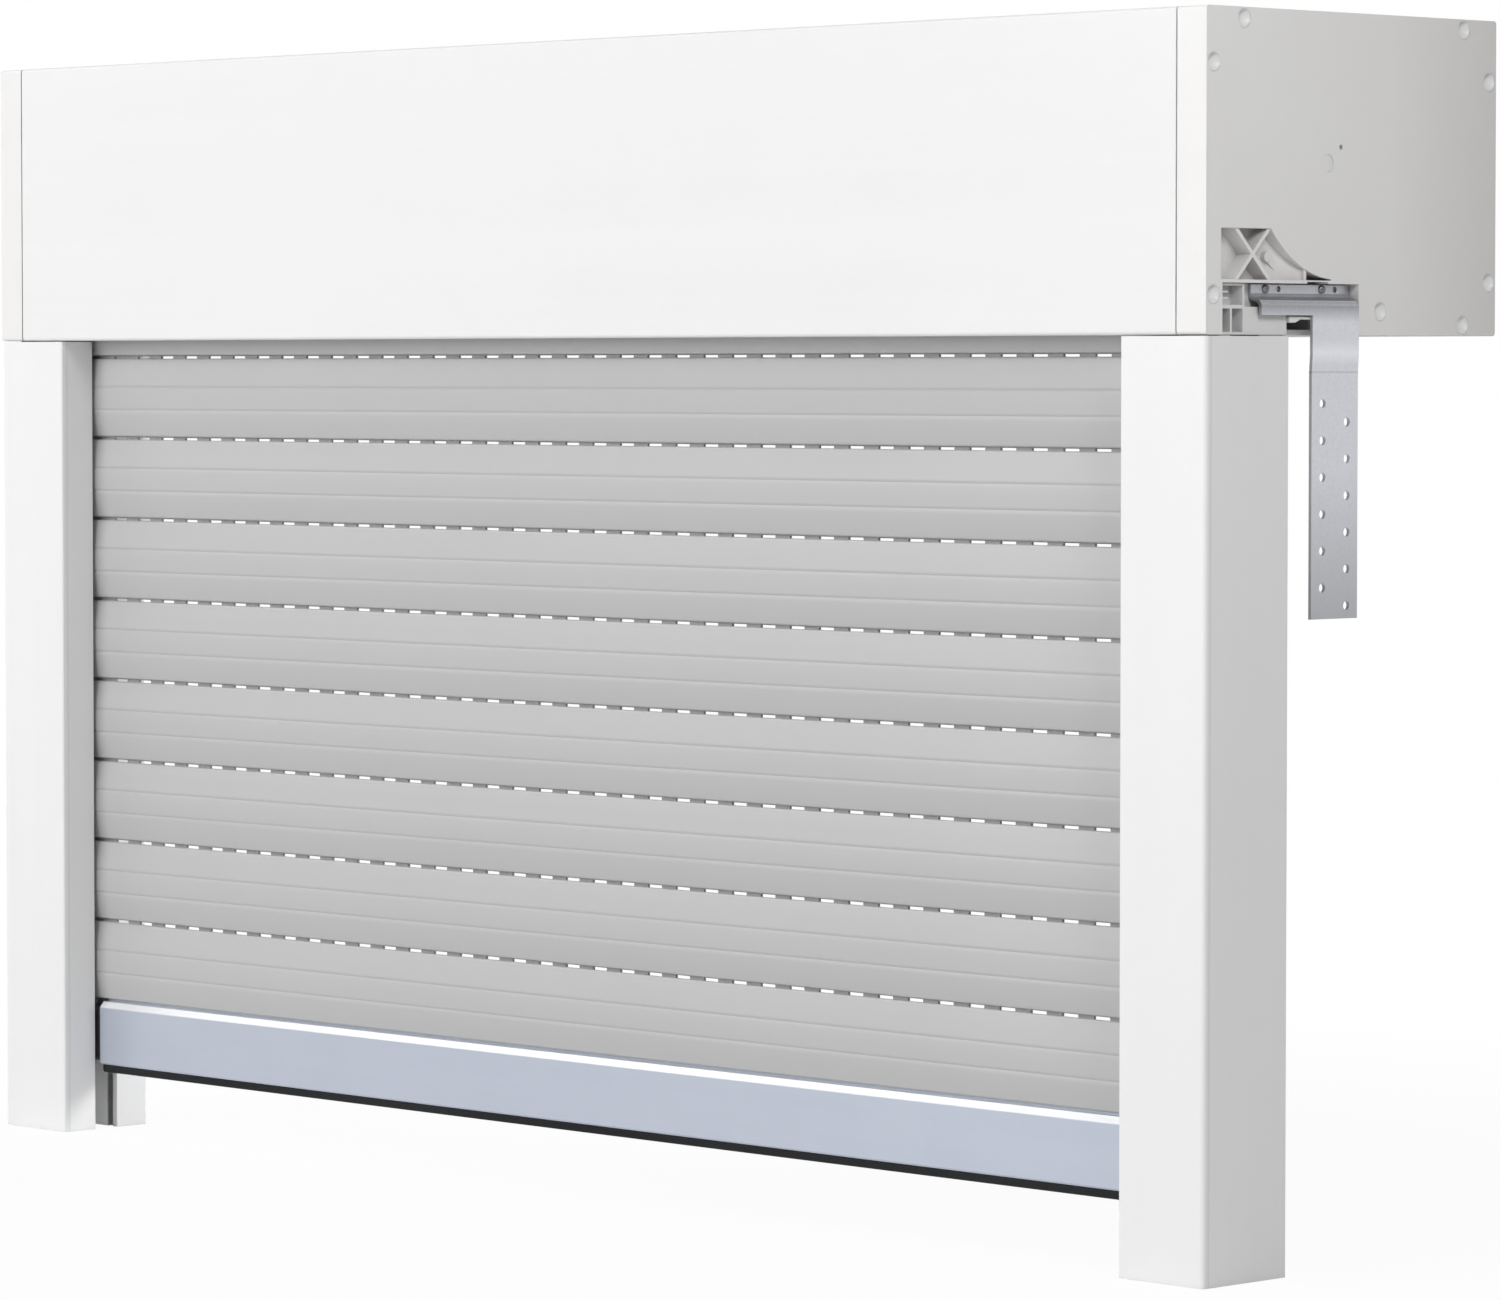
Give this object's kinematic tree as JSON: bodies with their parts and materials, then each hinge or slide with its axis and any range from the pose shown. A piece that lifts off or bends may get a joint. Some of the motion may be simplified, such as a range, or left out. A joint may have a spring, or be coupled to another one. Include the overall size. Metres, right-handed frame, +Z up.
{
  "type": "roller shutter",
  "caption": "Exterior roller shutter with a top-mounted box, guide rails, a slatted curtain with light slots, an aluminium bottom bar with rubber seal and perforated wall anchor straps.",
  "frame": {"origin": "middle of the underside of the box, where it stands on the window frame", "axes": "+X across the window to the right seen from the street, +Y from the street side to the room side, +Z up"},
  "size_m": [1.054, 0.24, 0.6856],
  "materials": {
    "white_pvc": "satin white PVC",
    "cap_plastic": "fine grained moulding",
    "inlet_plastic": "fine grained moulding",
    "pin_plastic": "smooth",
    "insulation_foam": "bead foam",
    "brush_pile": "short bristles",
    "galvanised_steel": "zinc coated",
    "zinc_screws": "zinc plated",
    "black_plastic": "glass filled",
    "bright_steel": "ground",
    "motor_paint": "smooth",
    "spring_steel": "blued",
    "slat_pvc": "light grey PVC",
    "anodised_aluminium": "satin",
    "seal_rubber": "matt",
    "glider_plastic": "smooth"
  },
  "bodies": {
    "frame": {"front_panel": "white_pvc", "top_panel": "white_pvc", "bottom_panel": "white_pvc", "rear_panel_upper": "white_pvc", "rear_panel_lower": "white_pvc", "guide_rail_left": "white_pvc", "guide_rail_right": "white_pvc", "end_cap_left": "cap_plastic", "end_cap_right": "cap_plastic", "guide_inlet_left": "inlet_plastic", "guide_inlet_right": "inlet_plastic", "cap_pins_left": "pin_plastic", "cap_pins_right": "pin_plastic", "rail_brushes_left": "brush_pile", "rail_brushes_right": "brush_pile", "wall_anchor_left": "galvanised_steel", "wall_anchor_right": "galvanised_steel", "anchor_screws_left": "zinc_screws", "anchor_screws_right": "zinc_screws", "bracket_screws": "zinc_screws", "bearing_bracket": "black_plastic", "motor_head": "black_plastic", "bearing_outer_ring": "bright_steel", "motor_bracket": "galvanised_steel", "motor_tube": "motor_paint"},
    "cover": {"inspection_cover": "white_pvc", "cover_insulation": "insulation_foam"},
    "shaft": {"winding_shaft": "galvanised_steel", "shaft_end_plug": "black_plastic", "axle_pin": "bright_steel", "bearing_inner_ring": "bright_steel", "bearing_balls": "bright_steel", "motor_crown": "black_plastic", "drive_wheel": "black_plastic", "output_stub": "bright_steel"},
    "hung_slat_1": {"slat_1": "slat_pvc", "suspension_straps": "spring_steel"},
    "hung_slat_2": {"slat_2": "slat_pvc"},
    "hung_slat_3": {"slat_3": "slat_pvc"},
    "hung_slat_4": {"slat_4": "slat_pvc"},
    "hung_slat_5": {"slat_5": "slat_pvc"},
    "hung_slat_6": {"slat_6": "slat_pvc"},
    "hung_slat_7": {"slat_7": "slat_pvc"},
    "hung_slat_8": {"slat_8": "slat_pvc"},
    "hung_slat_9": {"slat_9": "slat_pvc"},
    "bar": {"bottom_bar": "anodised_aluminium", "bottom_seal": "seal_rubber", "bar_glider_left": "glider_plastic", "bar_glider_right": "glider_plastic"}
  },
  "joints": [
    {"name": "curtain_lift", "type": "slide", "parent": "frame", "child": "hung_slat_1", "axis": [0, 0, 1], "range_m": [-0.037, 0.112], "deforming": ["suspension_straps"]},
    {"name": "shaft_turn", "type": "hinge", "parent": "frame", "child": "shaft", "pos_m": [0, -0.022, 0.093], "axis": [1, 0, 0], "range_deg": [-205, 75]},
    {"name": "cover_pull", "type": "slide", "parent": "frame", "child": "cover", "axis": [0, 1, 0], "range_m": [0, 0.06]},
    {"name": "slat_2_close", "type": "slide", "parent": "hung_slat_1", "child": "hung_slat_2", "axis": [0, 0, 1], "range_m": [0, 0.0018]},
    {"name": "slat_3_close", "type": "slide", "parent": "hung_slat_2", "child": "hung_slat_3", "axis": [0, 0, 1], "range_m": [0, 0.0018]},
    {"name": "slat_4_close", "type": "slide", "parent": "hung_slat_3", "child": "hung_slat_4", "axis": [0, 0, 1], "range_m": [0, 0.0018]},
    {"name": "slat_5_close", "type": "slide", "parent": "hung_slat_4", "child": "hung_slat_5", "axis": [0, 0, 1], "range_m": [0, 0.0018]},
    {"name": "slat_6_close", "type": "slide", "parent": "hung_slat_5", "child": "hung_slat_6", "axis": [0, 0, 1], "range_m": [0, 0.0018]},
    {"name": "slat_7_close", "type": "slide", "parent": "hung_slat_6", "child": "hung_slat_7", "axis": [0, 0, 1], "range_m": [0, 0.0018]},
    {"name": "slat_8_close", "type": "slide", "parent": "hung_slat_7", "child": "hung_slat_8", "axis": [0, 0, 1], "range_m": [0, 0.0018]},
    {"name": "slat_9_close", "type": "slide", "parent": "hung_slat_8", "child": "hung_slat_9", "axis": [0, 0, 1], "range_m": [0, 0.0018]},
    {"name": "bar_close", "type": "slide", "parent": "hung_slat_9", "child": "bar", "axis": [0, 0, 1], "range_m": [0, 0.0018]}
  ],
  "couplings": [
    {"joint": "shaft_turn", "follows": "curtain_lift", "rad_per_m": -30.77},
    {"joint": "slat_3_close", "follows": "slat_2_close", "ratio": 1},
    {"joint": "slat_4_close", "follows": "slat_2_close", "ratio": 1},
    {"joint": "slat_5_close", "follows": "slat_2_close", "ratio": 1},
    {"joint": "slat_6_close", "follows": "slat_2_close", "ratio": 1},
    {"joint": "slat_7_close", "follows": "slat_2_close", "ratio": 1},
    {"joint": "slat_8_close", "follows": "slat_2_close", "ratio": 1},
    {"joint": "slat_9_close", "follows": "slat_2_close", "ratio": 1},
    {"joint": "bar_close", "follows": "slat_2_close", "ratio": 1}
  ]
}
